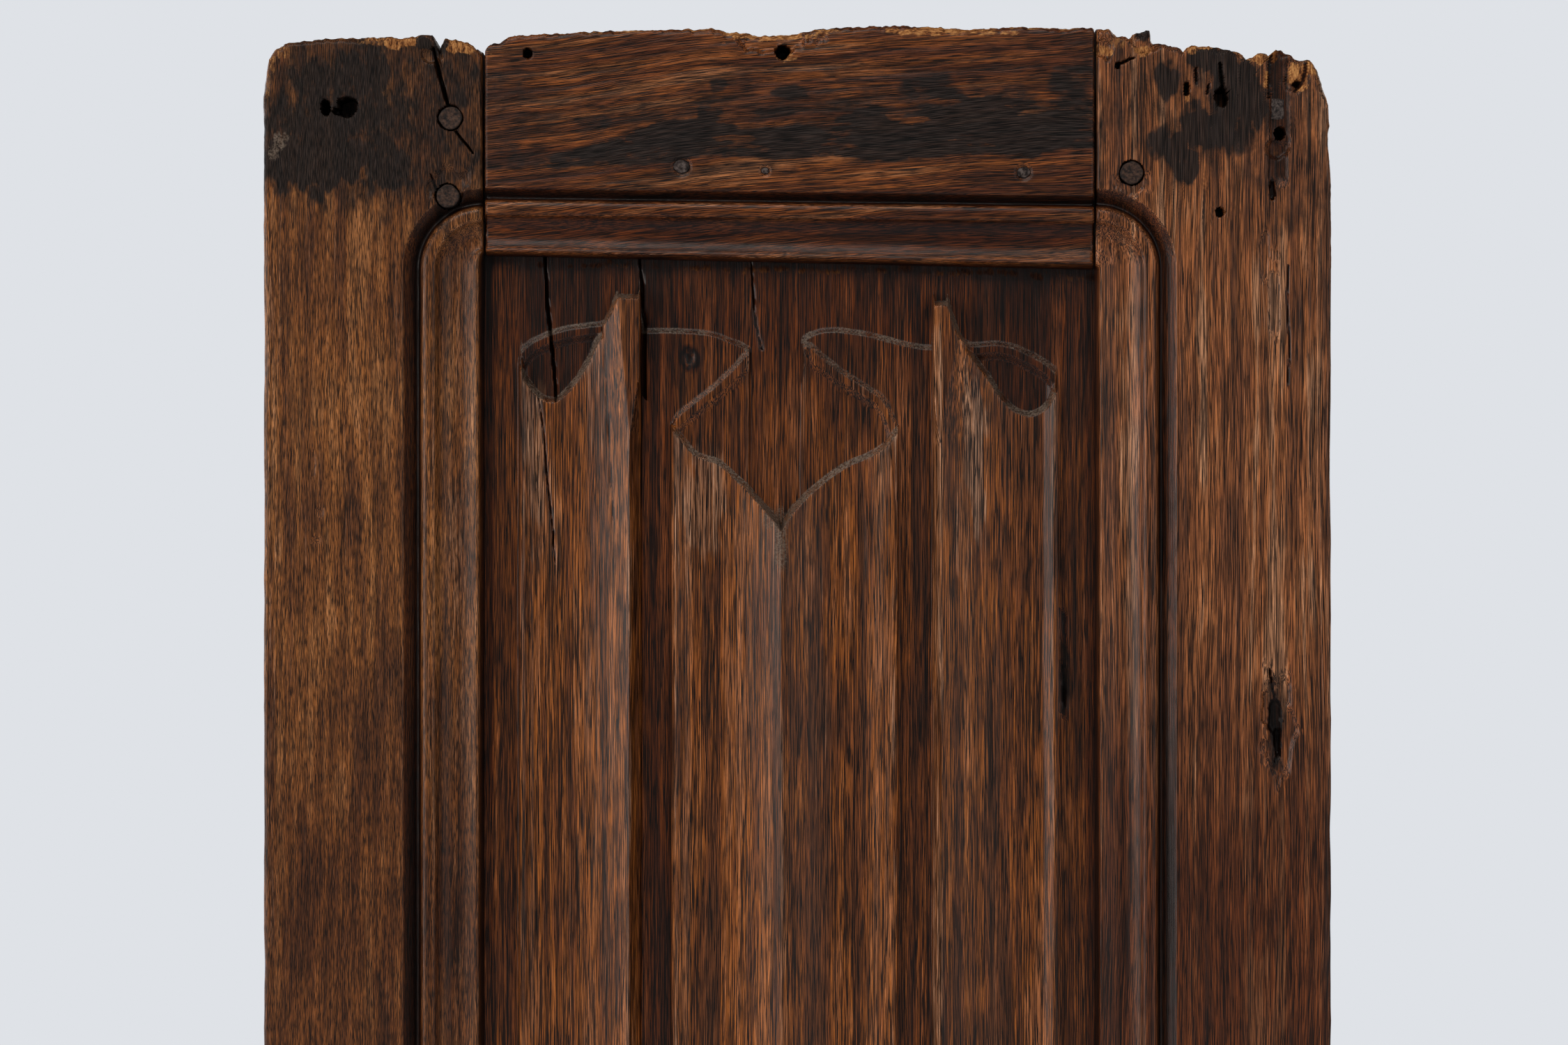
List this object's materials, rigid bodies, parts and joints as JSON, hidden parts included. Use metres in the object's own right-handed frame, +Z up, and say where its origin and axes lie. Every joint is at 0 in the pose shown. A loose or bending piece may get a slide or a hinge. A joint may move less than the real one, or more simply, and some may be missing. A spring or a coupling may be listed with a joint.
{
  "type": "carved oak panel",
  "caption": "Joined oak frame around a board carved in linenfold, with a run moulding, oak pegs and a worn, broken top. It is fixed to a wall by its back.",
  "frame": {"origin": "on the flat back of the frame, in the middle of the top rail, where the panel is held to a wall", "axes": "+Z up along the stiles, +X to the right as seen from the front, and the carved front faces -Y"},
  "size_m": [0.4108, 0.026, 0.6401],
  "materials": {
    "frame_oak": "old waxed oak, weathered grain, dark stains",
    "panel_oak": "old waxed oak, worn crests, dust in the carving",
    "peg_oak": "dark end grain, dull",
    "nail_iron": "rusted wrought iron, dull"
  },
  "bodies": {
    "root": {"left_stile": "frame_oak", "right_stile": "frame_oak", "top_rail": "frame_oak", "bottom_rail": "frame_oak", "linenfold_panel": "panel_oak", "peg_top_left_upper": "peg_oak", "peg_top_left_lower": "peg_oak", "peg_top_right": "peg_oak", "peg_bottom_left_upper": "peg_oak", "peg_bottom_left_lower": "peg_oak", "peg_bottom_right": "peg_oak", "right_stile_plug": "peg_oak", "rail_nail_left": "nail_iron", "rail_nail_middle": "nail_iron", "rail_nail_right": "nail_iron"}
  },
  "joints": []
}
